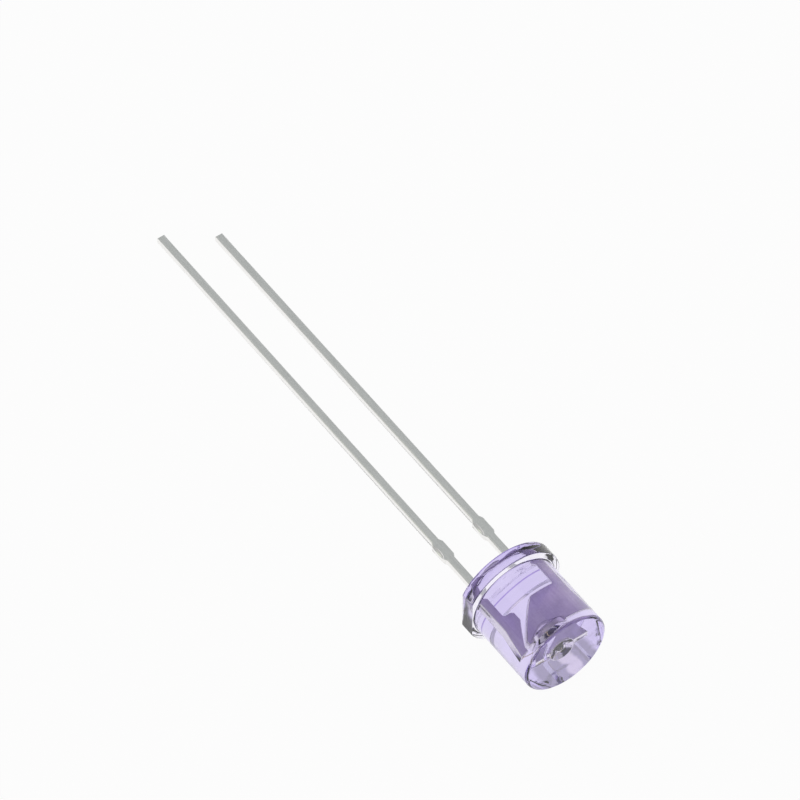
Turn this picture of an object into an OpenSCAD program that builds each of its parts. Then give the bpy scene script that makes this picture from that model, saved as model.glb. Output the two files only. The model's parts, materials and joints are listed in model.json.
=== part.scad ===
// Through hole LED with a flat lens face, cast in clear violet tinted epoxy.
// It lies on a flat surface, on the back rim of its flange and on the tips of its two leads.
// The origin is the middle of the flange's base, +X runs along the floor towards the lens, +Z is up.

/* [Resin body] */
// Diameter of the barrel
barrel_d = 5; // [4.8:0.05:5.2]
// Height of the body, from the rim of the base to the lens face
body_h = 5.3; // [5:0.1:6.5]
// Radius of the lens face's edge
lens_edge_r = 0.18; // [0.05:0.01:0.3]
// Diameter of the flange
flange_d = 5.85; // [5.6:0.05:6.1]
// Thickness of the flange
flange_t = 0.85; // [0.7:0.05:1.1]
// Radius of the flange's two edges
flange_edge_r = 0.07; // [0.03:0.01:0.12]
// Radius of the fillet where the barrel leaves the flange
foot_fillet_r = 0.09; // [0.05:0.01:0.1]
// Distance of the flange's flat from the axis
flat_offset = 2.61; // [2.61:0.01:2.75]
// Depth of the hollow that the resin's free surface leaves in the base
hollow_depth = 0.3; // [0.05:0.01:0.35]
// How steeply the hollow climbs the mould's wall: two is an even bowl, more is steeper at its edge
hollow_power = 5; // [2:1:8]
// Width of the flat rim between that hollow and the flange's rounded edge
base_rim = 0.03; // [0.02:0.01:0.2]

/* [Leads] */
// Distance between the middles of the two leads
lead_pitch = 2.54; // [2.4:0.02:2.6]
// Width of a lead
lead_w = 0.45; // [0.4:0.01:0.5]
// Thickness of the sheet that both leads are stamped from
sheet_t = 0.4; // [0.35:0.01:0.45]
// Length of the post lead below the base
long_lead = 28.8; // [26:0.1:31]
// Length of the anvil lead below the base
short_lead = 27.1; // [24:0.1:28]
// Distance from the base to the near end of the stand-off stops
stop_near = 2.8; // [2:0.1:3.5]
// Length of a stand-off stop
stop_l = 1.4; // [1:0.1:2]
// Width of a stand-off stop
stop_w = 0.68; // [0.6:0.01:0.8]
// Length of the slope at each end of a stop
stop_slope = 0.22; // [0.1:0.01:0.35]

/* [Lead frame inside the resin] */
// Height above the base at which the legs change to their width inside the resin
step_h = 0.4; // [0.3:0.05:0.6]
// Length of that change
step_l = 0.15; // [0.1:0.01:0.2]
// Distance from the axis to the outer edges of both heads at their tops
head_out = 1.66; // [1.5:0.01:1.75]
// Height of the anvil plate's top above the base
anvil_h = 4.15; // [3.95:0.05:4.2]
// Length of the anvil's head, from its shoulder to its top
head_l = 2.2; // [2:0.05:2.4]
// Distance from the axis to the inner edge of the anvil's leg
anvil_leg_in = 1.14; // [1.05:0.01:1.2]
// Distance from the axis to the anvil's lower corner
anvil_corner = 0.33; // [0.25:0.01:0.5]
// Radius of the anvil's other corners
anvil_corner_r = 0.06; // [0.03:0.01:0.1]
// Angle between the anvil's slanted edge and the axis
slant = 32; // [28:1:36]
// Distance from the axis to the end of the plate beside the cup
plate_side = 0.9; // [0.8:0.01:0.95]
// How far the post's top stands above the anvil plate's
post_rise = 0.17; // [0.1:0.01:0.3]
// How far the post's shoulder stands above the anvil's
shoulder_rise = 0.05; // [0:0.01:0.15]
// Distance from the axis to the inner edge of the post's leg
post_leg_in = 0.91; // [0.85:0.01:1]
// Distance from the axis to the outer edge of the post's waist
post_waist = 1.35; // [1.3:0.01:1.4]
// Length of the widening of both heads, down from the anvil plate's top
widening_l = 1.5; // [1.3:0.05:1.7]
// Distance from the axis to the inner edge of the post's head
post_inner = 0.47; // [0.42:0.01:0.5]
// Angle between the post's slanted edge and the axis
post_slant = 26; // [24:1:28]
// Width of the land on the post's top
post_land = 0.54; // [0.45:0.01:0.6]
// Radius of the post's lower corner
post_corner_r = 0.25; // [0.1:0.01:0.28]
// Radius between the post's leg and its shoulder
post_root_r = 0.18; // [0.05:0.01:0.2]
// Clear gap between the anvil and the post where the post's slanted edge starts
frame_gap = 0.28; // [0.2:0.01:0.35]

/* [Reflector cup] */
// How far the cup's rim stands above the anvil plate's top
cup_rise = 0.17; // [0.1:0.01:0.3]
// Outer diameter of the cup
cup_d = 1.5; // [1.4:0.05:1.6]
// Width of the cup's rim
cup_rim_w = 0.05; // [0.04:0.01:0.13]
// Diameter of the cup's floor
cup_floor_d = 0.66; // [0.6:0.02:0.8]
// Depth of the cup
cup_depth = 0.4; // [0.3:0.01:0.45]
// Height of the cup's straight outer wall
cup_wall_h = 0.34; // [0.25:0.01:0.4]
// Height of the flare that joins that wall to the sheet
cup_flare_h = 0.5; // [0.4:0.01:0.6]

/* [Chip and wire] */
// Side of the square chip
chip_side = 0.3; // [0.2:0.01:0.36]
// Height of the chip
chip_h = 0.17; // [0.1:0.01:0.2]
// Thickness of the adhesive under the chip
attach_t = 0.02; // [0.01:0.005:0.03]
// How far the adhesive stands out round the chip
attach_margin = 0.03; // [0.02:0.005:0.05]
// Diameter of the bond wire
wire_d = 0.03; // [0.025:0.005:0.04]
// Diameter of the ball bond on the chip
ball_d = 0.09; // [0.07:0.01:0.11]
// Height of the ball bond
ball_h = 0.03; // [0.02:0.005:0.04]
// Length of the stitch bond on the post
stitch_l = 0.12; // [0.08:0.01:0.15]
// Height of the stitch bond
stitch_h = 0.018; // [0.012:0.002:0.024]
// How high the wire would climb above the ball bond if it turned sharply
loop_rise = 0.62; // [0.5:0.01:0.7]
// How far from the post the wire starts to come down on it
landing = 0.5; // [0.3:0.05:0.6]

/* [Hidden] */
$fn = 96;

barrel_r = barrel_d / 2;
flange_r = flange_d / 2;

// The hollow in the base meets the rim's inner edge
hollow_r = flange_r - flange_edge_r - base_rim;
hollow_steps = 16;
hollow_curve = [for (i = [hollow_steps:-1:0])
    [hollow_r * i / hollow_steps, hollow_depth * (1 - pow(i / hollow_steps, hollow_power))]];

// The post's slanted edge starts at the gap from the anvil's, and closes on it towards the top
lead_in = lead_pitch / 2 - lead_w / 2;
lead_out = lead_pitch / 2 + lead_w / 2;
land_in = head_out - post_land;
post_h = anvil_h + post_rise;
anvil_shoulder_h = anvil_h - head_l;
post_shoulder_h = anvil_shoulder_h + shoulder_rise;
waist_h = anvil_h - widening_l;
function anvil_edge_h(x) = anvil_shoulder_h + (anvil_corner - x) / tan(slant);
post_edge_start = anvil_edge_h(frame_gap / cos(slant) - post_inner);
function post_edge_h(x) = post_edge_start - (post_inner + x) / tan(post_slant);

cup_r = cup_d / 2;
cup_rim_h = anvil_h + cup_rise;
cup_floor_h = cup_rim_h - cup_depth;
cup_wall_base = cup_rim_h - cup_wall_h;
cup_flare_base = cup_wall_base - cup_flare_h;
flare_root_r = sheet_t / 4;

chip_base = cup_floor_h + attach_t;
chip_top = chip_base + chip_h;
wire_r = wire_d / 2;
stitch_x = head_out - post_land / 2;
wire_sides = 8;
wire_rings = 24;

// How the part lies. The table's normal, seen from the part, leans towards the lens and to one side
roll = (long_lead - short_lead) / lead_pitch;
function rim_drop(lean) = (flange_r - flange_edge_r) * sqrt(1 - lean * lean)
    + flange_edge_r * (1 - lean);
function upright(lean) = sqrt(1 - lean * lean * (1 + roll * roll));
function next_lean(lean) = (rim_drop(lean) - upright(lean) * sheet_t / 2)
    / (long_lead - roll * lead_in);
function settle(lean, steps) = steps == 0 ? lean : settle(next_lean(lean), steps - 1);
lean = settle(0.09, 12);
up = [-roll * lean, upright(lean), lean];
along = ([0, 0, 1] - lean * up) / sqrt(1 - lean * lean);
across = cross(up, along);

// Points of an outline given as [x, height, corner radius], with its corners rounded
function unit(v) = v / norm(v);
function angle_of(v) = atan2(v[1], v[0]);
function turn(from, to) = (to - from + 540) % 360 - 180;
function corner_arc(before, here, after, r, steps = 6) =
    let (
        back = unit(before - here),
        on = unit(after - here),
        half = acos(back * on) / 2,
        middle = here + unit(back + on) * r / sin(half),
        start = angle_of(here + back * r / tan(half) - middle),
        sweep = turn(start, angle_of(here + on * r / tan(half) - middle))
    )
    [for (i = [0:steps])
        middle + r * [cos(start + sweep * i / steps), sin(start + sweep * i / steps)]];
function flat_point(p) = [p[0], p[1]];
function rounded(points) = [
    for (i = [0:len(points) - 1])
        let (
            count = len(points),
            before = flat_point(points[(i + count - 1) % count]),
            here = flat_point(points[i]),
            after = flat_point(points[(i + 1) % count]),
            r = points[i][2]
        )
        each r > 0 ? corner_arc(before, here, after, r) : [here]
];

// One long edge of a lead below the base, with its half of the stop, from the tip upwards
function lead_edge(x, side, tip) = [
    [x, -tip, 0],
    [x, -stop_near - stop_l, 0],
    [x + side * (stop_w - lead_w) / 2, -stop_near - stop_l + stop_slope, 0],
    [x + side * (stop_w - lead_w) / 2, -stop_near - stop_slope, 0],
    [x, -stop_near, 0]
];
function backwards(list) = [for (i = [len(list) - 1:-1:0]) list[i]];

anvil_outline = concat(
    lead_edge(lead_in, -1, short_lead),
    [
        [lead_in, step_h, 0],
        [anvil_leg_in, step_h + step_l, 0],
        [anvil_leg_in, anvil_shoulder_h, anvil_corner_r],
        [anvil_corner, anvil_shoulder_h, anvil_corner_r],
        [-plate_side, anvil_edge_h(-plate_side), 0],
        [-plate_side, anvil_h, 0],
        [head_out, anvil_h, anvil_corner_r],
        [lead_out, waist_h, 0]
    ],
    backwards(lead_edge(lead_out, 1, short_lead))
);
post_outline = concat(
    lead_edge(-lead_in, 1, long_lead),
    [
        [-lead_in, step_h, 0],
        [-post_leg_in, step_h + step_l, 0],
        [-post_leg_in, post_shoulder_h, post_root_r],
        [-post_inner, post_shoulder_h, post_corner_r],
        [-post_inner, post_edge_start, 0],
        [-land_in, post_edge_h(-land_in), 0],
        [-land_in, post_h, 0],
        [-head_out, post_h, 0],
        [-post_waist, waist_h, 0],
        [-post_waist, step_h + step_l, 0],
        [-lead_out, step_h, 0]
    ],
    backwards(lead_edge(-lead_out, -1, long_lead))
);

// Sets a piece modelled upright on its base down on the table
module lie_down() {
    multmatrix([
        [along[0], along[1], along[2], 0],
        [across[0], across[1], across[2], 0],
        [up[0], up[1], up[2], 0]
    ])
        children();
}

// A stamping in the plane of the two leads
module stamping(outline) {
    rotate([90, 0, 0])
        linear_extrude(height = sheet_t, center = true)
            polygon(rounded(outline));
}

// Half section of the resin, without the hollow in its base
module resin_section() {
    fillet = foot_fillet_r;
    difference() {
        union() {
            square([barrel_r - lens_edge_r, body_h]);
            square([barrel_r, body_h - lens_edge_r]);
            translate([barrel_r - lens_edge_r, body_h - lens_edge_r])
                circle(lens_edge_r);
            square([flange_r - flange_edge_r, flange_t]);
            translate([0, flange_edge_r])
                square([flange_r, flange_t - 2 * flange_edge_r]);
            for (h = [flange_edge_r, flange_t - flange_edge_r])
                translate([flange_r - flange_edge_r, h])
                    circle(flange_edge_r);
            translate([barrel_r - fillet, flange_t - fillet])
                square(2 * fillet);
        }
        translate([barrel_r + fillet, flange_t + fillet])
            circle(fillet);
    }
}

module resin_form() {
    difference() {
        rotate_extrude($fn = 180)
            resin_section();
        rotate_extrude($fn = 180)
            polygon(concat([[0, -flange_t], [hollow_r, -flange_t]], hollow_curve));
        translate([-flat_offset - flange_d, -flange_d / 2, -flange_t])
            cube([flange_d, flange_d, 3 * flange_t]);
    }
}

module cup_form() {
    rotate_extrude()
        polygon([
            [0, cup_flare_base],
            [flare_root_r, cup_flare_base],
            [cup_r, cup_wall_base],
            [cup_r, cup_rim_h],
            [0, cup_rim_h]
        ]);
}

module anvil_form() {
    difference() {
        union() {
            stamping(anvil_outline);
            cup_form();
        }
        translate([0, 0, cup_floor_h])
            cylinder(h = cup_depth, d1 = cup_floor_d, d2 = cup_d - 2 * cup_rim_w);
    }
}

module post_form() {
    stamping(post_outline);
}

module attach_form() {
    side = chip_side + 2 * attach_margin;
    translate([-side / 2, -side / 2, cup_floor_h])
        cube([side, side, attach_t]);
}

module chip_form() {
    translate([-chip_side / 2, -chip_side / 2, chip_base])
        cube([chip_side, chip_side, chip_h]);
}

// The wire's middle line is one cubic curve in the plane of the leads
wire_guides = [
    [0, chip_top + ball_h / 2],
    [0, chip_top + ball_h + loop_rise],
    [-stitch_x + landing, post_h + landing / 2],
    [-stitch_x, post_h + wire_r + stitch_h / 3]
];
function wire_point(t) =
    pow(1 - t, 3) * wire_guides[0] + 3 * pow(1 - t, 2) * t * wire_guides[1]
    + 3 * (1 - t) * t * t * wire_guides[2] + pow(t, 3) * wire_guides[3];
function wire_heading(t) = unit(
    pow(1 - t, 2) * (wire_guides[1] - wire_guides[0])
    + 2 * (1 - t) * t * (wire_guides[2] - wire_guides[1])
    + t * t * (wire_guides[3] - wire_guides[2])
);
function wire_ring(t) =
    let (p = wire_point(t), h = wire_heading(t))
    [for (j = [0:wire_sides - 1])
        let (a = 360 * j / wire_sides)
        [p[0] + wire_r * cos(a) * h[1], wire_r * sin(a), p[1] - wire_r * cos(a) * h[0]]];

module wire_form() {
    points = [for (i = [0:wire_rings]) each wire_ring(i / wire_rings)];
    walls = [for (i = [0:wire_rings - 1], j = [0:wire_sides - 1])
        let (k = (j + 1) % wire_sides, a = i * wire_sides, b = a + wire_sides)
        each [[a + j, b + j, b + k], [a + j, b + k, a + k]]];
    last = wire_rings * wire_sides;
    ends = [
        [for (j = [0:wire_sides - 1]) j],
        [for (j = [wire_sides - 1:-1:0]) last + j]
    ];
    polyhedron(points, concat(walls, ends));
    translate([0, 0, chip_top])
        cylinder(h = ball_h, d = ball_d, $fn = 12);
    translate([-stitch_x - stitch_l, -wire_d, post_h])
        cube([stitch_l + wire_d, 2 * wire_d, stitch_h]);
}

module epoxy_body() {
    color([0.76, 0.7, 0.9, 0.5])
        lie_down()
            difference() {
                resin_form();
                anvil_form();
                post_form();
                attach_form();
                chip_form();
                wire_form();
            }
}

module anvil_lead() {
    color("#b4b8b6")
        lie_down()
            anvil_form();
}

module post_lead() {
    color("#b4b8b6")
        lie_down()
            post_form();
}

module led_chip() {
    color("#4a4a52")
        lie_down()
            chip_form();
}

module die_attach() {
    color("#9a9a94")
        lie_down()
            attach_form();
}

module bond_wire() {
    color("#d9b25a")
        lie_down()
            wire_form();
}

epoxy_body();
anvil_lead();
post_lead();
led_chip();
die_attach();
bond_wire();
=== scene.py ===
"""Looks of a through hole LED with a flat lens face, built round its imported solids.

Every mesh is made in the part's own upright frame, in millimetres: x across the two leads, y out of the
sheet that they are stamped from, and h up the barrel's axis from the rim of the base. The Attitude class
then lays it down in the row frame, in metres.
"""

import json
import logging
import math
from dataclasses import dataclass
from enum import Enum

import bmesh
import bpy
from mathutils import Matrix, Quaternion, Vector


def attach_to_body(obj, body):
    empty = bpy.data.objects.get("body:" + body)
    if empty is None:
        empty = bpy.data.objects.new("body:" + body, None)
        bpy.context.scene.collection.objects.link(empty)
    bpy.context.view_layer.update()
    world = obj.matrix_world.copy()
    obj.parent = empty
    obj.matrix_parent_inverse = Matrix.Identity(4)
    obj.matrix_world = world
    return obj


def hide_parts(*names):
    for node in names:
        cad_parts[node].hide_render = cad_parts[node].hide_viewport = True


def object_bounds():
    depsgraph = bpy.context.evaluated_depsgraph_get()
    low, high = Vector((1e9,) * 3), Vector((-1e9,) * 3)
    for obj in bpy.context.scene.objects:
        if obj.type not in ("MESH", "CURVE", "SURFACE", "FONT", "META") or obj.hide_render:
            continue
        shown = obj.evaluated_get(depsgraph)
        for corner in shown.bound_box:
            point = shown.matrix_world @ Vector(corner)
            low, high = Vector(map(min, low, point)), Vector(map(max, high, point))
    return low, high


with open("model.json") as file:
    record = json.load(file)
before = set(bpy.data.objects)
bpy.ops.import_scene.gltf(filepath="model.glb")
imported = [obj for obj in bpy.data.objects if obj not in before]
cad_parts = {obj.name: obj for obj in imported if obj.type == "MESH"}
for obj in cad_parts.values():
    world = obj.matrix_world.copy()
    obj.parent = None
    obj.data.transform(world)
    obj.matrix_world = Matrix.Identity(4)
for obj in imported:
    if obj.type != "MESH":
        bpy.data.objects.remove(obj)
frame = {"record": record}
CAD_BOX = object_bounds()

MM = 0.001
WHITE = (1.0, 1.0, 1.0, 1.0)
BODY = "root"
log = logging.getLogger("led")

# A point of a turned section that is nearer to the axis than this stands on it
ON_AXIS = 1e-9

Point = tuple[float, float]
Corner = tuple[float, float, float]


class Change(Enum):
    """What another solid does to a piece."""

    JOIN = "UNION"
    CUT = "DIFFERENCE"


def linear(hex_colour: str) -> tuple[float, float, float, float]:
    """Turn an sRGB hex colour into linear values.

    Args:
        hex_colour: Six hex digits after a hash mark.

    Returns:
        Red, green, blue and an alpha of one.
    """
    channels = (int(hex_colour[i:i + 2], 16) / 255 for i in (1, 3, 5))
    r, g, b = (c / 12.92 if c <= 0.04045 else ((c + 0.055) / 1.055) ** 2.4 for c in channels)
    return r, g, b, 1.0


def add_node(
    tree: bpy.types.NodeTree, kind: str, settings: dict | None = None, links: dict | None = None
) -> bpy.types.Node:
    """Add a node with its settings and links.

    Args:
        tree: The node tree that gets the node.
        kind: Blender's name for the node's type.
        settings: Values by attribute name, or by the name or number of an input.
        links: Output sockets by the name or number of the input that they feed.

    Returns:
        The new node.
    """
    node = tree.nodes.new(kind)
    for key, value in (settings or {}).items():
        if isinstance(key, str) and hasattr(node, key):
            setattr(node, key, value)
        else:
            node.inputs[key].default_value = value
    for key, socket in (links or {}).items():
        tree.links.new(socket, node.inputs[key])
    return node


def new_material(name: str) -> tuple[bpy.types.Material, bpy.types.NodeTree, bpy.types.Node]:
    """Make an empty node material.

    Args:
        name: The finish's name.

    Returns:
        The material, its tree and its output node.
    """
    material = bpy.data.materials.new(name)
    material.use_nodes = True
    tree = material.node_tree
    tree.nodes.clear()
    return material, tree, add_node(tree, "ShaderNodeOutputMaterial")


@dataclass(frozen=True)
class TintedEpoxy:
    """Casting epoxy, clear and violet tinted, glossy from the mould it was cast in."""

    tint: str = "#914FE9"
    density_per_m: float = 100.0
    ior: float = 1.53
    roughness: float = 0.0
    # The flange's flat comes less glossy from the mould than the round walls do
    flat_roughness: float = 0.3
    # How far inside the flat that change of gloss starts and ends
    flat_blend_mm: tuple[float, float] = (0.01, 0.005)
    # The mould's wall is faintly wavy: about one swell in 1.6 mm
    swell_mm: float = 1.6
    swell_height_mm: float = 0.004
    # The base set as a free surface, and it is more uneven, up to a little above its hollow
    ripple_mm: float = 1.0
    ripple_height_mm: float = 0.08
    ripple_over_mm: float = 0.02
    # Painted shade: the flange's outward wall is coloured a deeper violet where it meets that surface,
    # standing in for the dark line that the light through the resin leaves there
    rim: str = "#9880CA"
    rim_shade_mm: tuple[float, float] = (0.1, 0.04)
    # How squarely the wall faces outward where that painted shade starts and is full: the cosine of its
    # tilt
    rim_shade_facing: tuple[float, float] = (0.1, 0.4)

    def material(self, attitude: "Attitude", flat: float, base: float) -> bpy.types.Material:
        """Build the glassy shader with its tint in the volume.

        Args:
            attitude: How the part lies.
            flat: The flat's distance from the axis, in millimetres.
            base: The height that the base's hollow reaches, in millimetres.

        Returns:
            The finished material.
        """
        material, tree, output = new_material("violet_epoxy")
        place = add_node(tree, "ShaderNodeTexCoord").outputs["Object"]
        normal = add_node(tree, "ShaderNodeNewGeometry").outputs["True Normal"]
        measured = (
            (place, -attitude.across),
            (place, attitude.axis),
            (normal, -attitude.axis),
            (normal, attitude.outward),
        )
        reach, height, down, facing = (
            add_node(
                tree, "ShaderNodeVectorMath", {"operation": "DOT_PRODUCT", 1: towards}, {0: source}
            ).outputs["Value"]
            for source, towards in measured
        )
        start, end = ((flat - blend) * MM for blend in self.flat_blend_mm)
        gloss = add_node(
            tree,
            "ShaderNodeMapRange",
            {
                "From Min": start,
                "From Max": end,
                "To Min": self.roughness,
                "To Max": self.flat_roughness,
            },
            {"Value": reach},
        )
        level = add_node(tree, "ShaderNodeMath", {"operation": "ABSOLUTE"}, {0: down})
        top = (base + self.ripple_over_mm) * MM
        low = add_node(tree, "ShaderNodeMath", {"operation": "LESS_THAN", 1: top}, {0: height})
        rim = (end_mm * MM for end_mm in self.rim_shade_mm)
        spans = ((height, *rim), (facing, *self.rim_shade_facing))
        at_rim, on_wall = (
            add_node(
                tree, "ShaderNodeMapRange", {"From Min": start, "From Max": end}, {"Value": source}
            ).outputs["Result"]
            for source, start, end in spans
        )
        ripple, swell = (
            add_node(
                tree,
                "ShaderNodeTexNoise",
                {"Scale": 1 / (wave_mm * MM), "Detail": 1.0, "Roughness": 0.4},
                {"Vector": place},
            ).outputs["Fac"]
            for wave_mm in (self.ripple_mm, self.swell_mm)
        )
        layers = ((ripple, level.outputs["Value"], low.outputs["Value"]), (at_rim, on_wall))
        overlaps = []
        for share, *masks in layers:
            for mask in masks:
                both = {0: share, 1: mask}
                share = add_node(tree, "ShaderNodeMath", {"operation": "MULTIPLY"}, both).outputs[0]
            overlaps.append(share)
        rippled, rim_shade_share = overlaps
        waves = {"Strength": 1.0, "Distance": self.swell_height_mm * MM}
        wavy = add_node(tree, "ShaderNodeBump", waves, {"Height": swell})
        ripples = {"Strength": 1.0, "Distance": self.ripple_height_mm * MM}
        laid_over = {"Height": rippled, "Normal": wavy.outputs["Normal"]}
        uneven = add_node(tree, "ShaderNodeBump", ripples, laid_over)
        # Painted shade: the base colour turns from white to the deeper violet at the flange's foot
        rim_shading = {"data_type": "RGBA", 6: WHITE, 7: linear(self.rim)}
        colour = add_node(tree, "ShaderNodeMix", rim_shading, {0: rim_shade_share})
        links = {
            "Base Color": colour.outputs[2],
            "Normal": uneven.outputs["Normal"],
            "Roughness": gloss.outputs["Result"],
        }
        clear = {"IOR": self.ior, "Transmission Weight": 1.0}
        shader = add_node(tree, "ShaderNodeBsdfPrincipled", clear, links)
        dye = {"Color": linear(self.tint), "Density": self.density_per_m}
        volume = add_node(tree, "ShaderNodeVolumeAbsorption", dye)
        tree.links.new(shader.outputs["BSDF"], output.inputs["Surface"])
        tree.links.new(volume.outputs["Volume"], output.inputs["Volume"])
        return material


@dataclass(frozen=True)
class SatinTin:
    """Tin plating on stamped steel: satin, with faint lines from rolling and a soft grain; some of its
    colours are painted light and shade.
    """

    light: str = "#EEF1F0"
    dark: str = "#D9DDDB"
    roughness: float = 0.3
    uneven_gloss: float = 0.04
    # Rolling lines run along the lead. Real ones are about 0.01 mm apart, drawn coarser to show
    line_mm: float = 0.05
    line_stretch: float = 0.04
    grain_mm: float = 0.12
    grain_height_mm: float = 0.0012
    # Where lines and grain added together turn from the dark tone to the light one
    tone_from: float = 0.6
    tone_to: float = 1.4
    # Painted tint: inside the resin the plating's grey is painted a dimmer violet, standing in for the
    # light that reaches it through the tinted resin
    resin_tint_light: str = "#DDD1ED"
    resin_tint_dark: str = "#C8B8DB"
    resin_tint_blend_mm: float = 0.2
    # Painted shade: inside the resin the back of the frame is painted a dark violet in blotches,
    # standing in for the shade on the frame's underside
    back_shade_light: str = "#C9BAE0"
    back_shade_dark: str = "#5E4F86"
    blotch_mm: float = 0.8
    blotch_from: float = 0.42
    blotch_to: float = 0.58
    # The punch leaves the sheared edges clean and smoother; their brighter tone is painted light,
    # standing in for the light that the narrow side faces catch
    cut_edge_sheen_light: str = "#F9F8F6"
    cut_edge_sheen_dark: str = "#E3E2E0"
    sheared_roughness: float = 0.16
    # How squarely a face must look out of the sheet to count as rolled: the cosine of its tilt
    rolled_from: float = 0.8
    rolled_to: float = 0.92
    # The cup was coined to a polish
    polish: float = 0.04
    # Its outer wall is as dull as the broad faces, from this height and this far out of the sheet
    drawn: str = "#BBB0C6"
    drawn_from_mm: float = 3.85
    drawn_blend_mm: float = 0.1
    drawn_proud_mm: float = 0.26
    proud_blend_mm: float = 0.08
    # Painted shade: the inside of the cup's back wall is painted dark violet, on the anvil lead's side,
    # standing in for the shade and dark reflections there
    cup_shade: str = "#463A60"
    cup_shade_aside_mm: float = 0.33
    cup_shade_r_mm: float = 0.3
    cup_shade_blend_mm: float = 0.08
    # Where a wall looks inwards, and lies behind the sheet's middle, far enough to take that painted
    # shade
    inner_wall_mm: tuple[float, float] = (-0.05, -0.15)
    back_wall_mm: tuple[float, float] = (-0.1, -0.2)

    def material(self, lengthwise: Vector, outward: Vector) -> bpy.types.Material:
        """Build the metal.

        Args:
            lengthwise: The direction that the rolling lines run in, in the row frame.
            outward: The direction out of the sheet, in the row frame.

        Returns:
            The finished material.
        """
        material, tree, output = new_material("satin_tin")
        place = add_node(tree, "ShaderNodeTexCoord").outputs["Object"]
        normal = add_node(tree, "ShaderNodeNewGeometry").outputs["True Normal"]
        turn = lengthwise.to_track_quat("Z", "Y").inverted().to_euler()
        along = add_node(tree, "ShaderNodeMapping", {"Rotation": turn}, {"Vector": place})
        stretch = {"operation": "MULTIPLY", 1: (1.0, 1.0, self.line_stretch)}
        stretched = add_node(tree, "ShaderNodeVectorMath", stretch, {0: along.outputs["Vector"]})
        # Each texture's size, detail, roughness and place
        textures = (
            (self.line_mm, 2.0, 0.5, stretched.outputs["Vector"]),
            (self.grain_mm, 4.0, 0.6, place),
            (self.blotch_mm, 1.0, 0.4, place),
        )
        lines, grain, blotch = (
            add_node(
                tree,
                "ShaderNodeTexNoise",
                {"Scale": 1 / (size_mm * MM), "Detail": detail, "Roughness": sharpness},
                {"Vector": source},
            ).outputs["Fac"]
            for size_mm, detail, sharpness, source in textures
        )
        measured = (
            (place, lengthwise),
            (place, outward),
            (place, lengthwise.cross(outward)),
            (normal, outward),
        )
        height, depth, aside, facing = (
            add_node(
                tree, "ShaderNodeVectorMath", {"operation": "DOT_PRODUCT", 1: towards}, {0: source}
            ).outputs["Value"]
            for source, towards in measured
        )
        sums = (
            ({"operation": "ADD"}, {0: lines, 1: grain}),
            ({"operation": "ABSOLUTE"}, {0: facing}),
            ({"operation": "GREATER_THAN", 1: 0.0}, {0: facing}),
            ({"operation": "MULTIPLY"}, {0: depth, 1: facing}),
            ({"operation": "ADD", 1: self.cup_shade_aside_mm * MM}, {0: aside}),
        )
        texture, squarely, front, proud, past_cup_shade = (
            add_node(tree, "ShaderNodeMath", settings, links).outputs["Value"]
            for settings, links in sums
        )
        off_cup_shade = add_node(tree, "ShaderNodeMath", {"operation": "ABSOLUTE"}, {0: past_cup_shade})
        spans_mm = (
            (height, 0.0, self.resin_tint_blend_mm),
            (height, self.drawn_from_mm, self.drawn_from_mm + self.drawn_blend_mm),
            (proud, self.drawn_proud_mm, self.drawn_proud_mm + self.proud_blend_mm),
            (proud, *self.inner_wall_mm),
            (depth, *self.back_wall_mm),
            (off_cup_shade.outputs["Value"], self.cup_shade_r_mm, self.cup_shade_r_mm - self.cup_shade_blend_mm),
        )
        spans = (
            (texture, self.tone_from, self.tone_to),
            (squarely, self.rolled_from, self.rolled_to),
            (blotch, self.blotch_from, self.blotch_to),
            *((source, start * MM, end * MM) for source, start, end in spans_mm),
        )
        tone, rolled, back_shade_mottle, inside, near_rim, on_cup, inner_wall, back_wall, within = (
            add_node(
                tree, "ShaderNodeMapRange", {"From Min": start, "From Max": end}, {"Value": source}
            ).outputs["Result"]
            for source, start, end in spans
        )
        overlaps = []
        for share, *masks in ((on_cup, near_rim), (inner_wall, back_wall, near_rim, within)):
            for mask in masks:
                both = {0: share, 1: mask}
                share = add_node(tree, "ShaderNodeMath", {"operation": "MULTIPLY"}, both).outputs[0]
            overlaps.append(share)
        drawn, cup_shaded = overlaps
        # Painted light and shade: the violet tint inside the resin, the blotched shade on the back faces
        # and the brighter cut edges
        tones = (
            (tone, self.dark, self.light),
            (tone, self.resin_tint_dark, self.resin_tint_light),
            (tone, self.cut_edge_sheen_dark, self.cut_edge_sheen_light),
            (back_shade_mottle, self.back_shade_dark, self.back_shade_light),
        )
        bare, resin_tinted, cut_edge_sheen, back = (
            add_node(
                tree,
                "ShaderNodeMix",
                {"data_type": "RGBA", 6: linear(dark), 7: linear(light)},
                {0: share},
            ).outputs[2]
            for share, dark, light in tones
        )
        colour = resin_tinted
        # Layered in turn: painted shade on the back faces, the painted tint inside the resin, and the
        # brighter painted edges where a face is not rolled
        for share, otherwise in ((front, back), (inside, bare), (rolled, cut_edge_sheen)):
            layered = {0: share, 6: otherwise, 7: colour}
            colour = add_node(tree, "ShaderNodeMix", {"data_type": "RGBA"}, layered).outputs[2]
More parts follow.
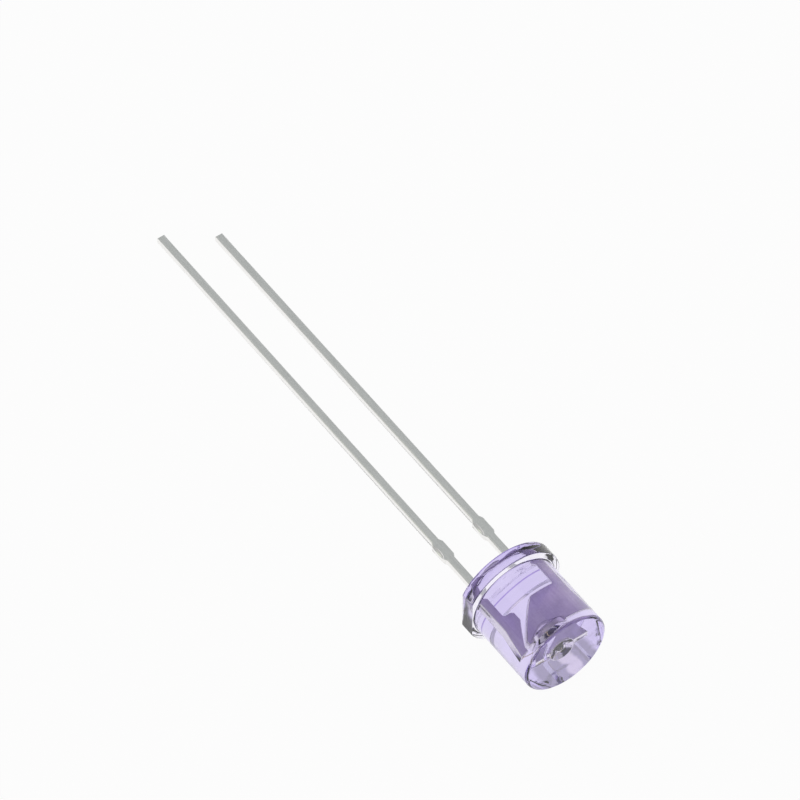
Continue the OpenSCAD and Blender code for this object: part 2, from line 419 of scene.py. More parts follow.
        # Over the rest go the cup's outer wall and then the painted shade inside its back wall
        for share, cover in ((drawn, self.drawn), (cup_shaded, self.cup_shade)):
            covered = {"data_type": "RGBA", 7: linear(cover)}
            colour = add_node(tree, "ShaderNodeMix", covered, {0: share, 6: colour}).outputs[2]
        worked = {"To Min": self.sheared_roughness, "To Max": self.polish}
        edges = add_node(tree, "ShaderNodeMapRange", worked, {"Value": near_rim})
        faces = {"Value": rolled, "To Min": edges.outputs["Result"]}
        satin = add_node(tree, "ShaderNodeMapRange", {"To Max": self.roughness}, faces)
        speckled = {"operation": "MULTIPLY_ADD", 1: self.uneven_gloss}
        gloss = add_node(tree, "ShaderNodeMath", speckled, {0: grain, 2: satin.outputs["Result"]})
        relief = {"Strength": 1.0, "Distance": self.grain_height_mm * MM}
        bump = add_node(tree, "ShaderNodeBump", relief, {"Height": texture})
        links = {
            "Base Color": colour,
            "Roughness": gloss.outputs["Value"],
            "Normal": bump.outputs["Normal"],
        }
        shader = add_node(tree, "ShaderNodeBsdfPrincipled", {"Metallic": 1.0}, links)
        tree.links.new(shader.outputs["BSDF"], output.inputs["Surface"])
        return material


@dataclass(frozen=True)
class SpeckledSolid:
    """A small solid part with a fine speckle: the chip's crystal, its adhesive or the gold wire."""

    name: str
    light: str
    dark: str
    metallic: float
    roughness: float
    speckle_mm: float
    # How much of its roughness comes and goes with the speckle
    uneven: float = 0.3

    def material(self) -> bpy.types.Material:
        """Build the shader with its speckle in colour and roughness."""
        material, tree, output = new_material(self.name)
        place = add_node(tree, "ShaderNodeTexCoord")
        fine = {"Scale": 1 / (self.speckle_mm * MM), "Detail": 3.0}
        speckle = add_node(tree, "ShaderNodeTexNoise", fine, {"Vector": place.outputs["Object"]})
        tones = {"data_type": "RGBA", 6: linear(self.dark), 7: linear(self.light)}
        colour = add_node(tree, "ShaderNodeMix", tones, {0: speckle.outputs["Fac"]})
        smoother, rougher = ((1 + sign * self.uneven) * self.roughness for sign in (-1, 1))
        shine = {"To Min": smoother, "To Max": rougher}
        gloss = add_node(tree, "ShaderNodeMapRange", shine, {"Value": speckle.outputs["Fac"]})
        shader = add_node(
            tree,
            "ShaderNodeBsdfPrincipled",
            {"Metallic": self.metallic},
            {"Base Color": colour.outputs[2], "Roughness": gloss.outputs["Result"]},
        )
        tree.links.new(shader.outputs["BSDF"], output.inputs["Surface"])
        return material


# Gallium arsenide: a dark grey crystal with a semi-metallic shine on its sawn faces
SAWN_CRYSTAL = SpeckledSolid("sawn_crystal", "#7C7C86", "#4E4E56", 0.6, 0.3, 0.04)
# Silver flakes in epoxy: pale grey and dull
SILVER_ADHESIVE = SpeckledSolid("silver_adhesive", "#C9C9C2", "#8E8E88", 0.7, 0.5, 0.02)
# Drawn gold wire: bright, and smooth from its die
DRAWN_GOLD = SpeckledSolid("drawn_gold", "#EBDDBE", "#D2BE92", 1.0, 0.25, 0.03)


@dataclass(frozen=True)
class Attitude:
    """How the part lies in the row frame."""

    across: Vector
    outward: Vector
    axis: Vector

    @classmethod
    def from_record(cls, record: dict) -> "Attitude":
        """Read the part's own directions from its mounts.

        Args:
            record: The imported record.

        Returns:
            The directions of x, y and h in the row frame.
        """
        mounts = {m["name"]: m for m in record["mounts"]}
        axis = Vector(mounts["barrel"]["axis"]).normalized()
        on_flange = Vector(mounts["flange_front"]["pos_m"])
        outward = (on_flange - axis * on_flange.dot(axis)).normalized()
        return cls(outward.cross(axis), outward, axis)

    def matrix(self) -> Matrix:
        """Give the matrix from the upright frame in millimetres to the row frame in metres."""
        turned = Matrix((self.across, self.outward, self.axis)).transposed()
        return turned.to_4x4() @ Matrix.Scale(MM, 4)


def arc(middle: Point, r: float, start: float, stop: float, steps: int = 8) -> list[Point]:
    """Give points along a round stretch of a section.

    Args:
        middle: The arc's centre.
        r: The arc's radius.
        start: The first point's angle in degrees.
        stop: The last point's angle in degrees.
        steps: How many straight steps the arc is made of.

    Returns:
        The points, both ends included.
    """
    angles = (math.radians(start + (stop - start) * i / steps) for i in range(steps + 1))
    return [(middle[0] + r * math.cos(a), middle[1] + r * math.sin(a)) for a in angles]


def rounded(corners: list[Corner], steps: int = 6) -> list[Point]:
    """Round the corners of a closed outline.

    Args:
        corners: The outline's corners, each with the radius it is rounded to.
        steps: How many straight steps a rounded corner is made of.

    Returns:
        The outline's points.
    """
    points: list[Point] = []
    for i, (x, h, r) in enumerate(corners):
        here = Vector((x, h))
        if r <= 0:
            points.append((x, h))
            continue
        back = (Vector(corners[i - 1][:2]) - here).normalized()
        on = (Vector(corners[(i + 1) % len(corners)][:2]) - here).normalized()
        half = back.angle(on) / 2
        middle = here + (back + on).normalized() * r / math.sin(half)
        first = here + back * r / math.tan(half) - middle
        last = here + on * r / math.tan(half) - middle
        start = math.degrees(math.atan2(first.y, first.x))
        sweep = (math.degrees(math.atan2(last.y, last.x)) - start + 540) % 360 - 180
        points += arc((middle.x, middle.y), r, start, start + sweep, steps)
    return points


def direction(azimuth: float, elevation: float) -> Vector:
    """Give the unit vector that points at an azimuth and an elevation, both in degrees."""
    around, up = math.radians(azimuth), math.radians(elevation)
    return Vector((math.cos(up) * math.cos(around), math.cos(up) * math.sin(around), math.sin(up)))


def revolve(section: list[Point], around: int) -> bmesh.types.BMesh:
    """Turn a half section about the h axis into a closed solid.

    Args:
        section: Points from the axis, round the outside, and back to the axis.
        around: How many steps there are round the axis.

    Returns:
        The mesh.
    """
    mesh = bmesh.new()
    rings = []
    for r, h in section:
        if r < ON_AXIS:
            rings.append([mesh.verts.new((0, 0, h))] * around)
            continue
        angles = (2 * math.pi * i / around for i in range(around))
        rings.append([mesh.verts.new((r * math.cos(a), r * math.sin(a), h)) for a in angles])
    for low, high in zip(rings, rings[1:]):
        for i in range(around):
            j = (i + 1) % around
            ring = dict.fromkeys((low[i], low[j], high[j], high[i]))
            mesh.faces.new(list(ring))
    bmesh.ops.recalc_face_normals(mesh, faces=mesh.faces)
    return mesh


def stamp(outline: list[Point], thickness: float, edge_r: float) -> bmesh.types.BMesh:
    """Stamp an outline from sheet, with softened edges on both faces.

    Args:
        outline: The outline's points.
        thickness: The sheet's thickness.
        edge_r: The radius of the edges round both faces.

    Returns:
        The mesh.
    """
    mesh = bmesh.new()
    face = mesh.faces.new([mesh.verts.new((x, -thickness / 2, h)) for x, h in outline])
    grown = bmesh.ops.extrude_face_region(mesh, geom=[face])["geom"]
    moved = [g for g in grown if isinstance(g, bmesh.types.BMVert)]
    bmesh.ops.translate(mesh, verts=moved, vec=(0, thickness, 0))
    rims = [e for e in mesh.edges if abs(e.verts[0].co.y - e.verts[1].co.y) < thickness / 2]
    bmesh.ops.bevel(mesh, geom=rims, offset=edge_r, segments=3, profile=0.5, affect="EDGES")
    bmesh.ops.recalc_face_normals(mesh, faces=mesh.faces)
    return mesh


class Workshop:
    """Turns meshes made in the upright frame into named pieces in the row frame."""

    def __init__(self, attitude: Attitude) -> None:
        """Keep the way the part lies."""
        self.attitude = attitude

    def piece(self, name: str, mesh: bmesh.types.BMesh, smooth_to: float = 20.0) -> bpy.types.Object:
        """Make an object from a mesh, in the row frame.

        Args:
            name: The piece's name.
            mesh: The mesh in millimetres, which is freed here.
            smooth_to: The steepest edge that is still shaded smooth, in degrees.

        Returns:
            The object.
        """
        data = bpy.data.meshes.new(name)
        mesh.transform(self.attitude.matrix())
        mesh.to_mesh(data)
        mesh.free()
        data.shade_smooth()
        data.set_sharp_from_angle(angle=math.radians(smooth_to))
        made = bpy.data.objects.new(name, data)
        bpy.context.scene.collection.objects.link(made)
        return made

    @staticmethod
    def combine(base: bpy.types.Object, other: bpy.types.Object, change: Change) -> None:
        """Join another solid to a piece, or cut it out, and drop the other.

        Args:
            base: The piece that is changed.
            other: The solid that is joined or cut out.
            change: Which of the two is done.
        """
        step = base.modifiers.new("step", "BOOLEAN")
        step.operation = change.value
        step.solver = "EXACT"
        step.object = other
        bpy.context.view_layer.update()
        done = base.evaluated_get(bpy.context.evaluated_depsgraph_get())
        data = bpy.data.meshes.new_from_object(done)
        base.modifiers.clear()
        base.data = data
        bpy.data.objects.remove(other)

    @staticmethod
    def dress(made: bpy.types.Object, material: bpy.types.Material, slot: str, *nodes: str) -> None:
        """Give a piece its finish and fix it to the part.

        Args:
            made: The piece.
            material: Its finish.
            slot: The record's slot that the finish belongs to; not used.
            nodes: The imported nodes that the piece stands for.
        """
        made.data.materials.clear()
        made.data.materials.append(material)
        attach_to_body(made, BODY)
        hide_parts(*nodes)
        log.info("%s: %d faces", made.name, len(made.data.polygons))


@dataclass
class ResinBody:
    """The casting: barrel, lens face, flange with its flat, and the hollow base."""

    barrel_r: float
    height: float
    flange_t: float
    flange_r: float = 2.92
    flat: float = 2.61
    lens_edge_r: float = 0.18
    flange_edge_r: float = 0.07
    base_edge_r: float = 0.03
    foot_r: float = 0.09
    hollow_depth: float = 0.3
    # The resin climbs its mould's wall, so the hollow is steepest at its edge
    hollow_power: float = 5.0
    rim: float = 0.1
    # A ring this close to each round edge keeps the flat beside it shaded flat
    hold: float = 0.02
    around: int = 288
    # Points nearer to each other than this become one
    weld: float = 1e-5

    @classmethod
    def from_record(cls, record: dict, attitude: Attitude) -> "ResinBody":
        """Take the sizes that the mounts state.

        Args:
            record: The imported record.
            attitude: How the part lies.

        Returns:
            The body with its other sizes as drawn.
        """
        mounts = {m["name"]: m for m in record["mounts"]}
        height = Vector(mounts["lens_face"]["pos_m"]).dot(attitude.axis) / MM
        flange_t = Vector(mounts["flange_front"]["pos_m"]).dot(attitude.axis) / MM
        return cls(mounts["barrel"]["dims"]["r_mm"], height, flange_t)

    def hollow(self, steps: int = 48) -> list[Point]:
        """Give the curve of the base's hollow, from the axis out to the rim."""
        mouth = self.flange_r - self.rim
        shares = (i / steps for i in range(steps + 1))
        return [(mouth * s, self.hollow_depth * (1 - s**self.hollow_power)) for s in shares]

    def section(self) -> list[Point]:
        """Give the half section, from the hollow's middle round to the lens face's middle."""
        edge, foot, lens, hold = self.flange_edge_r, self.foot_r, self.lens_edge_r, self.hold
        side, top = self.flange_r - edge, self.flange_t - edge
        base = self.base_edge_r
        points = self.hollow()
        points += [(self.flange_r - base - hold, 0.0)]
        points += arc((self.flange_r - base, base), base, -90, 0)
        points += [(self.flange_r, base + hold), (self.flange_r, top - hold)]
        points += arc((side, top), edge, 0, 90)
        points += [(side - hold, self.flange_t), (self.barrel_r + foot + hold, self.flange_t)]
        points += arc((self.barrel_r + foot, self.flange_t + foot), foot, -90, -180)
        points += [(self.barrel_r, self.flange_t + foot + hold)]
        points += [(self.barrel_r, self.height - lens - hold)]
        points += arc((self.barrel_r - lens, self.height - lens), lens, 0, 90)
        points += [(self.barrel_r - lens - hold, self.height), (0.0, self.height)]
        return points

    def build(self, shop: Workshop, finish: TintedEpoxy) -> None:
        """Cast the body in one piece.

        Args:
            shop: Where pieces are made.
            finish: The resin.
        """
        mesh = revolve(self.section(), self.around)
        for vertex in mesh.verts:
            if vertex.co.x < -self.flat:
                vertex.co *= Vector((-self.flat / vertex.co.x, -self.flat / vertex.co.x, 1))
        bmesh.ops.remove_doubles(mesh, verts=mesh.verts, dist=self.weld)
        bmesh.ops.dissolve_degenerate(mesh, edges=mesh.edges, dist=self.weld)
        made = shop.piece("resin_body", mesh)
        resin = finish.material(shop.attitude, self.flat, self.hollow_depth)
        shop.dress(made, resin, "resin", "epoxy_body")


@dataclass
class LeadFrame:
    """The two stampings: the post lead, and the anvil lead with its reflector cup."""

    # The leads, with their lengths below the base
    pitch: float = 2.54
    width: float = 0.45
    sheet: float = 0.4
    long_lead: float = 28.8
    short_lead: float = 27.1
    # The stand-off stops
    stop_near: float = 2.8
    stop_length: float = 1.4
    stop_width: float = 0.68
    stop_slope: float = 0.22
    # The steps, waists and heads that hold the leads in the resin
    step_height: float = 0.4
    step_length: float = 0.15
    head_out: float = 1.66
    waist_height: float = 2.65
    # The anvil's plate, with its slanted edge in degrees
    anvil_height: float = 4.15
    anvil_shoulder: float = 1.95
    anvil_leg_in: float = 1.14
    anvil_corner: float = 0.33
    anvil_corner_r: float = 0.06
    slant: float = 32.0
    plate_side: float = 0.9
    # The post, which leans along the anvil's slanted edge
    post_height: float = 4.32
    post_shoulder: float = 2.0
    post_leg_in: float = 0.91
    post_waist: float = 1.35
    post_inner: float = 0.47
    post_slant: float = 26.0
    post_land: float = 0.54
    post_corner_r: float = 0.25
    post_root_r: float = 0.18
    gap: float = 0.28
    # The reflector cup
    rim_height: float = 4.32
    cup_r: float = 0.75
    mouth_r: float = 0.7
    floor_r: float = 0.33
    cup_depth: float = 0.4
    wall_height: float = 0.34
    flare_height: float = 0.5
    # The cup's rim is rounded this far round, and its other corners are eased by this much
    rim_turn: float = 150.0
    ease: float = 0.03
    ease_less: float = 0.02
    # The core that clears the cup keeps inside its wall, and reaches through its floor
    core_through: float = 0.06
    core_taper: float = 0.02
    core_knee: float = 0.13
    core_under_rim: float = 0.05
    edge_r: float = 0.055
    # The steepest edge that is still shaded smooth, in degrees
    smooth_to: float = 35.0
    # The punch that pinched each stop out of its lead left a hollow along one edge of the stop
    pinch_r: float = 0.26
    pinch_half: float = 0.64
    pinch_aside: float = 0.06
    pinch_above: float = 0.13
    # How many straight steps the turned shapes are made of: the mark's half round, and each full turn
    pinch_steps: int = 16
    pinch_around: int = 48
    core_around: int = 64
    cup_around: int = 96

    @property
    def near_edge(self) -> float:
        """Distance from the axis to a lead's inner edge."""
        return (self.pitch - self.width) / 2

    @property
    def far_edge(self) -> float:
        """Distance from the axis to a lead's outer edge."""
        return (self.pitch + self.width) / 2

    @property
    def cup_floor(self) -> float:
        """Height of the cup's floor above the base."""
        return self.rim_height - self.cup_depth

    @property
    def land_in(self) -> float:
        """Distance from the axis to the inner end of the land on the post's top."""
        return self.head_out - self.post_land

    @property
    def stitch_x(self) -> float:
        """Distance from the axis to the middle of that land."""
        return self.head_out - self.post_land / 2

    def anvil_edge(self, x: float) -> float:
        """Give the height at which the anvil's slanted edge passes a place across the leads."""
        return self.anvil_shoulder + (self.anvil_corner - x) / math.tan(math.radians(self.slant))

    def post_edge(self, x: float) -> float:
        """Give the height at which the post's slanted edge passes a place across the leads."""
        start = self.anvil_edge(self.gap / math.cos(math.radians(self.slant)) - self.post_inner)
        return start - (self.post_inner + x) / math.tan(math.radians(self.post_slant))

    def lead_edge(self, x: float, outward: int, tip: float) -> list[Corner]:
        """Give one long edge of a lead below the base, from its tip upwards.

        Args:
            x: Where the edge runs, across the leads.
            outward: The direction that the stop widens in, plus or minus one.
            tip: The lead's length below the base.

        Returns:
            The edge's corners.
        """
        wide = x + outward * (self.stop_width - self.width) / 2
        end = self.stop_near + self.stop_length
        return [
            (x, -tip, 0.0),
            (x, -end, 0.0),
            (wide, -end + self.stop_slope, 0.0),
            (wide, -self.stop_near - self.stop_slope, 0.0),
            (x, -self.stop_near, 0.0),
        ]

    def pinch(self, lead: float) -> bmesh.types.BMesh:
        """Give the shape that a stop's pinch mark is hollowed out with.

        Args:
            lead: Where the lead's middle is, across the leads.

        Returns:
            The mesh.
        """
        turns = [math.pi * i / self.pinch_steps for i in range(self.pinch_steps + 1)]
        section = [(self.pinch_r * math.sin(t), -self.pinch_half * math.cos(t)) for t in turns]
        mark = revolve(section, self.pinch_around)
        x = lead - self.stop_width / 2 - self.pinch_aside
        y = self.sheet / 2 + self.pinch_above
        h = -self.stop_near - self.stop_length / 2
        bmesh.ops.translate(mark, verts=mark.verts, vec=(x, y, h))
        return mark

    def post_outline(self) -> list[Point]:
        """Give the outline of the post lead."""
        step_end = self.step_height + self.step_length
        head = [
            (-self.near_edge, self.step_height, 0.0),
            (-self.post_leg_in, step_end, 0.0),
            (-self.post_leg_in, self.post_shoulder, self.post_root_r),
            (-self.post_inner, self.post_shoulder, self.post_corner_r),
            (-self.post_inner, self.post_edge(-self.post_inner), 0.0),
            (-self.land_in, self.post_edge(-self.land_in), 0.0),
            (-self.land_in, self.post_height, 0.0),
            (-self.head_out, self.post_height, 0.0),
            (-self.post_waist, self.waist_height, 0.0),
            (-self.post_waist, step_end, 0.0),
            (-self.far_edge, self.step_height, 0.0),
        ]
        inner = self.lead_edge(-self.near_edge, 1, self.long_lead)
        outer = self.lead_edge(-self.far_edge, -1, self.long_lead)
        return rounded(inner + head + outer[::-1])

    def anvil_outline(self) -> list[Point]:
        """Give the outline of the anvil lead, without its cup."""
        head = [
            (self.near_edge, self.step_height, 0.0),
            (self.anvil_leg_in, self.step_height + self.step_length, 0.0),
            (self.anvil_leg_in, self.anvil_shoulder, self.anvil_corner_r),
            (self.anvil_corner, self.anvil_shoulder, self.anvil_corner_r),
            (-self.plate_side, self.anvil_edge(-self.plate_side), 0.0),
            (-self.plate_side, self.anvil_height, 0.0),
            (self.head_out, self.anvil_height, self.anvil_corner_r),
            (self.far_edge, self.waist_height, 0.0),
        ]
        inner = self.lead_edge(self.near_edge, -1, self.short_lead)
        outer = self.lead_edge(self.far_edge, 1, self.short_lead)
        return rounded(inner + head + outer[::-1])

    def cup_section(self) -> list[Point]:
        """Give the half section of the cup, with a rounded rim and a rounded floor."""
        wall = self.rim_height - self.wall_height
        rim_r = (self.cup_r - self.mouth_r) / 2
        rim = arc((self.cup_r - rim_r, self.rim_height - rim_r), rim_r, 0, self.rim_turn)
        return [
            (0.0, wall - self.flare_height),
            (self.sheet / 4, wall - self.flare_height),
            (self.cup_r - self.ease, wall - self.ease_less),
            (self.cup_r, wall + self.ease),
            *rim,
            (self.floor_r + self.ease, self.cup_floor + self.ease),
            (self.floor_r - self.ease_less, self.cup_floor),
            (0.0, self.cup_floor),
        ]

    def core_section(self) -> list[Point]:
        """Give a half section that clears the plate out of the cup, inside the cup's own wall."""
        inside = (self.cup_r + self.mouth_r) / 2
        return [
            (0.0, self.cup_floor - self.core_through),
            (self.floor_r + self.core_through, self.cup_floor - self.core_through),
            (inside - self.core_taper, self.cup_floor + self.core_knee),
            (inside, self.rim_height - self.core_under_rim),
            (0.0, self.rim_height - self.core_under_rim),
        ]

    def build(self, shop: Workshop, finish: SatinTin) -> None:
        """Stamp both leads.

        Args:
            shop: Where pieces are made.
            finish: The plating.
        """
        plating = finish.material(shop.attitude.axis, shop.attitude.outward)
        outlines = (("post_stamping", self.post_outline()), ("anvil_stamping", self.anvil_outline()))
        post, anvil = (
            shop.piece(name, stamp(outline, self.sheet, self.edge_r), self.smooth_to)
            for name, outline in outlines
        )
        core = shop.piece("core", revolve(self.core_section(), self.core_around))
        shop.combine(anvil, core, Change.CUT)
        cup = shop.piece("cup", revolve(self.cup_section(), self.cup_around))
        shop.combine(anvil, cup, Change.JOIN)
        stampings = ((post, -self.pitch / 2, "post_lead"), (anvil, self.pitch / 2, "anvil_lead"))
        for stamping, middle, node in stampings:
            shop.combine(stamping, shop.piece("pinch", self.pinch(middle)), Change.CUT)
            stamping.data.set_sharp_from_angle(angle=math.radians(self.smooth_to))
            shop.dress(stamping, plating, "lead_plating", node)


@dataclass
class Die:
    """The chip in the cup's floor, its adhesive, and the bond wire to the post."""

    leads: LeadFrame
    side: float = 0.3
    height: float = 0.17
    edge: float = 0.012
    # The pad of adhesive under the chip: its thickness, how far it shows all round, and its edges' share
    attach: float = 0.02
    margin: float = 0.03
    attach_edge: float = 0.4
    wire_r: float = 0.015
    ball_r: float = 0.045
    ball_h: float = 0.03
    ball_around: int = 32
    stitch_length: float = 0.12
    stitch_height: float = 0.018
    # The press spread the stitch to this many wire radii at its end, and half as many at the wire
    stitch_spread: float = 4.0
    loop_rise: float = 0.62
    landing: float = 0.5
    # The steepest edge of the wire that is still shaded smooth, in degrees
    smooth_to: float = 40.0

    @property
    def chip_base(self) -> float:
        """Height of the chip's underside above the base."""
        return self.leads.cup_floor + self.attach

    @property
    def chip_top(self) -> float:
        """Height of the chip's top above the base."""
        return self.chip_base + self.height

    def block(self, side: float, low: float, high: float, edge: float) -> bmesh.types.BMesh:
        """Make a square block on the axis with chamfered edges.

        Args:
            side: Its width both ways.
            low: Height of its underside.
            high: Height of its top.
            edge: Width of its chamfers.

        Returns:
            The mesh.
        """
        mesh = bmesh.new()
        bmesh.ops.create_cube(mesh, size=1)
        for vertex in mesh.verts:
            vertex.co.x *= side
            vertex.co.y *= side
            vertex.co.z = low if vertex.co.z < 0 else high
        bmesh.ops.bevel(mesh, geom=mesh.edges[:], offset=edge, segments=2, affect="EDGES")
        return mesh

    def wire_line(self, rings: int = 48) -> list[Vector]:
        """Give points along the wire's middle, from the ball bond to the stitch bond."""
        post, top = self.leads.stitch_x, self.leads.post_height
        guides = [
            Vector((0, self.chip_top + self.ball_h / 2)),
            Vector((0, self.chip_top + self.ball_h + self.loop_rise)),
            Vector((-post + self.landing, top + self.landing / 2)),
            Vector((-post, top + self.wire_r + self.stitch_height / 3)),
        ]
        points = []
        for i in range(rings + 1):
            t = i / rings
            shares = ((1 - t) ** 3, 3 * (1 - t) ** 2 * t, 3 * (1 - t) * t * t, t**3)
            points.append(sum((g * s for g, s in zip(guides, shares)), Vector((0, 0))))
        return points

    def wire(self, sides: int = 12) -> bmesh.types.BMesh:
        """Draw the wire as a tube along its line.

        Args:
            sides: How many flats the tube has.

        Returns:
            The mesh.
        """
        mesh = bmesh.new()
        line = self.wire_line()
        rings = []
        for i, point in enumerate(line):
            heading = (line[min(i + 1, len(line) - 1)] - line[max(i - 1, 0)]).normalized()
            ring = []
            for j in range(sides):
                turn = 2 * math.pi * j / sides
                out = self.wire_r * math.cos(turn)
                aside = self.wire_r * math.sin(turn)
                place = (point.x + out * heading.y, aside, point.y - out * heading.x)
                ring.append(mesh.verts.new(place))
            rings.append(ring)
        for low, high in zip(rings, rings[1:]):
            for j in range(sides):
                k = (j + 1) % sides
                mesh.faces.new((low[j], low[k], high[k], high[j]))
        mesh.faces.new(rings[0][::-1])
        mesh.faces.new(rings[-1])
        bmesh.ops.recalc_face_normals(mesh, faces=mesh.faces)
        return mesh

    def ball(self) -> bmesh.types.BMesh:
        """Turn the squashed ball bond."""
        bulge = self.ball_h / 2
        side = arc((self.ball_r - bulge, self.chip_top + bulge), bulge, -90, 90)
        section = [(0.0, self.chip_top), *side, (0.0, self.chip_top + self.ball_h)]
        return revolve(section, self.ball_around)

    def stitch(self) -> bmesh.types.BMesh:
        """Press the flat stitch bond on the post."""
        post, top = self.leads.stitch_x, self.leads.post_height
        mesh = bmesh.new()
        bmesh.ops.create_cube(mesh, size=1)
        for vertex in mesh.verts:
            near = vertex.co.x > 0
            vertex.co.x = -post + (2 * self.wire_r if near else -self.stitch_length)
            vertex.co.y *= self.stitch_spread * self.wire_r * (0.5 if near else 1)
            vertex.co.z = top + (self.stitch_height if vertex.co.z > 0 else 0)
        return mesh

    def build(self, shop: Workshop) -> None:
        """Set the chip and bond it.

        Args:
            shop: Where pieces are made.
        """
        pad_side = self.side + 2 * self.margin
        pad_edge = self.attach * self.attach_edge
        pad = self.block(pad_side, self.leads.cup_floor, self.chip_base, pad_edge)
        adhesive = shop.piece("adhesive_pad", pad)
        shop.dress(adhesive, SILVER_ADHESIVE.material(), "attach", "die_attach")
        chip = self.block(self.side, self.chip_base, self.chip_top, self.edge)
        crystal = shop.piece("crystal", chip)
        shop.dress(crystal, SAWN_CRYSTAL.material(), "chip", "led_chip")
        wire = shop.piece("gold_wire", self.wire(), self.smooth_to)
        for name, mesh in (("ball", self.ball()), ("stitch", self.stitch())):
            shop.combine(wire, shop.piece(name, mesh), Change.JOIN)
        shop.dress(wire, DRAWN_GOLD.material(), "gold_wire", "bond_wire")


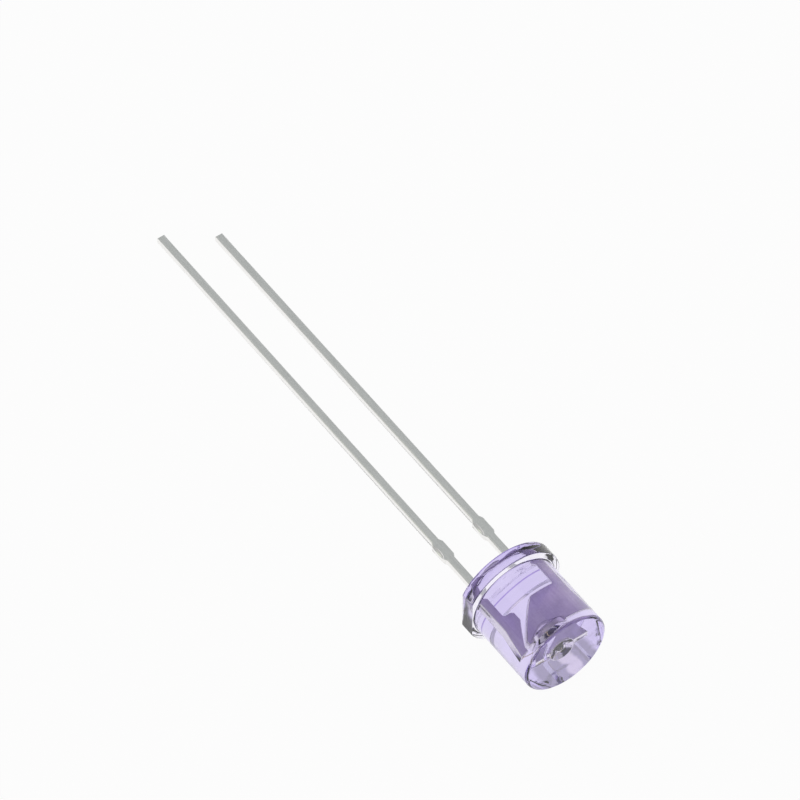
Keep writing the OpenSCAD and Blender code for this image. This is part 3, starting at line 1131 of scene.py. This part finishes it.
@dataclass
class Studio:
    """A plain pale floor, soft light from the room around it, and the camera."""

    aim_mm: tuple[float, float, float] = (-13.366, 3.218, -2.938)
    azimuth: float = -36.62
    elevation: float = 59.03
    roll: float = 0.7
    distance_mm: float = 353.9
    lens_mm: float = 305.8
    sensor_mm: float = 36.0
    nearest_mm: float = 10.0
    floor_r: float = 1.2
    floor_sides: int = 96
    # The floor lies this far under the part, so that the two never share a face
    floor_under_mm: float = 0.01
    floor_colour: str = "#F4F4F4"
    # How much of the floor's white the camera sees whatever falls on it
    floor_glow: float = 0.95
    # The room's walls are white, and turn to a grey ceiling up to this sine of the elevation
    wall: str = "#F9F9F9"
    ceiling: str = "#C0C0C0"
    ceiling_at: float = 0.22
    # A warm window high behind the part and a dark doorway low beside the camera, each with the
    # azimuth and elevation of its middle and the radii where it is full and where it ends, in degrees
    window: str = "#FFFFF0"
    window_at: tuple[float, float] = (-160.0, 47.0)
    window_r: tuple[float, float] = (13.0, 19.0)
    doorway: str = "#606060"
    doorway_at: tuple[float, float] = (-58.0, 3.0)
    doorway_r: tuple[float, float] = (14.0, 20.0)

    def camera(self) -> None:
        """Set up the camera at the photograph's viewing angle."""
        data = bpy.data.cameras.new("camera")
        data.lens = self.lens_mm
        data.sensor_width = self.sensor_mm
        data.clip_start = self.nearest_mm * MM
        camera = bpy.data.objects.new("camera", data)
        bpy.context.scene.collection.objects.link(camera)
        away = direction(self.azimuth, self.elevation)
        camera.location = Vector(self.aim_mm) * MM + away * self.distance_mm * MM
        roll = Quaternion((0, 0, 1), math.radians(self.roll))
        camera.rotation_euler = (away.to_track_quat("Z", "Y") @ roll).to_euler()
        bpy.context.scene.camera = camera

    def floor(self) -> None:
        """Lay a matt floor that metal and resin see as white."""
        bpy.ops.mesh.primitive_circle_add(
            vertices=self.floor_sides, radius=self.floor_r, fill_type="NGON"
        )
        floor = bpy.context.object
        floor.name = "floor"
        floor.location.z = CAD_BOX[0][2] - self.floor_under_mm * MM
        material, tree, output = new_material("floor_card")
        matt = add_node(tree, "ShaderNodeBsdfDiffuse", {"Color": linear(self.floor_colour)})
        glow = add_node(tree, "ShaderNodeEmission", {"Color": WHITE, "Strength": 1.0})
        path = add_node(tree, "ShaderNodeLightPath")
        bent = {0: path.outputs["Is Glossy Ray"], 1: path.outputs["Is Transmission Ray"]}
        seen = add_node(tree, "ShaderNodeMath", {"operation": "MAXIMUM"}, bent)
        direct = {0: path.outputs["Is Camera Ray"], 2: seen.outputs["Value"]}
        lit = {"operation": "MULTIPLY_ADD", 1: self.floor_glow}
        share = add_node(tree, "ShaderNodeMath", lit, direct)
        sides = {0: share.outputs["Value"], 1: matt.outputs["BSDF"], 2: glow.outputs["Emission"]}
        mixed = add_node(tree, "ShaderNodeMixShader", {}, sides)
        tree.links.new(mixed.outputs["Shader"], output.inputs["Surface"])
        floor.data.materials.append(material)

    def world(self) -> None:
        """Surround the part with the room's light, in place of which the camera sees plain white."""
        world = bpy.data.worlds.new("studio")
        world.use_nodes = True
        tree = world.node_tree
        tree.nodes.clear()
        path = add_node(tree, "ShaderNodeLightPath")
        place = add_node(tree, "ShaderNodeTexCoord")
        parts = add_node(tree, "ShaderNodeSeparateXYZ", {}, {"Vector": place.outputs["Generated"]})
        high = {"From Max": self.ceiling_at}
        height = add_node(tree, "ShaderNodeMapRange", high, {"Value": parts.outputs["Z"]})
        walls = {"data_type": "RGBA", 6: linear(self.wall), 7: linear(self.ceiling)}
        room = add_node(tree, "ShaderNodeMix", walls, {0: height.outputs["Result"]})
        patches = (
            (self.window_at, self.window_r, self.window),
            (self.doorway_at, self.doorway_r, self.doorway),
        )
        for middle, radii, colour in patches:
            towards = {"operation": "DOT_PRODUCT", 1: direction(*middle)}
            facing = add_node(tree, "ShaderNodeVectorMath", towards, {0: place.outputs["Generated"]})
            full, end = (math.cos(math.radians(radius)) for radius in radii)
            span = {"From Min": end, "From Max": full}
            share = add_node(tree, "ShaderNodeMapRange", span, {"Value": facing.outputs["Value"]})
            patch = {"data_type": "RGBA", 7: linear(colour)}
            over = {0: share.outputs["Result"], 6: room.outputs[2]}
            room = add_node(tree, "ShaderNodeMix", patch, over)
        seen = {0: path.outputs["Is Camera Ray"], 6: room.outputs[2]}
        shown = add_node(tree, "ShaderNodeMix", {"data_type": "RGBA", 7: WHITE}, seen)
        light = add_node(tree, "ShaderNodeBackground", {"Strength": 1.0}, {"Color": shown.outputs[2]})
        output = add_node(tree, "ShaderNodeOutputWorld")
        tree.links.new(light.outputs["Background"], output.inputs["Surface"])
        bpy.context.scene.world = world

    def build(self) -> None:
        """Set the whole stage."""
        self.camera()
        self.floor()
        self.world()
        bpy.context.scene.view_settings.view_transform = "Standard"


def main() -> None:
    """Build the part's looks and its stage."""
    logging.basicConfig(level=logging.INFO, format="%(name)s: %(message)s")
    Studio().build()
    record = frame["record"]
    attitude = Attitude.from_record(record)
    shop = Workshop(attitude)
    stampings = LeadFrame()
    stampings.build(shop, SatinTin())
    Die(stampings).build(shop)
    ResinBody.from_record(record, attitude).build(shop, TintedEpoxy())


if __name__ == "__main__":
    main()
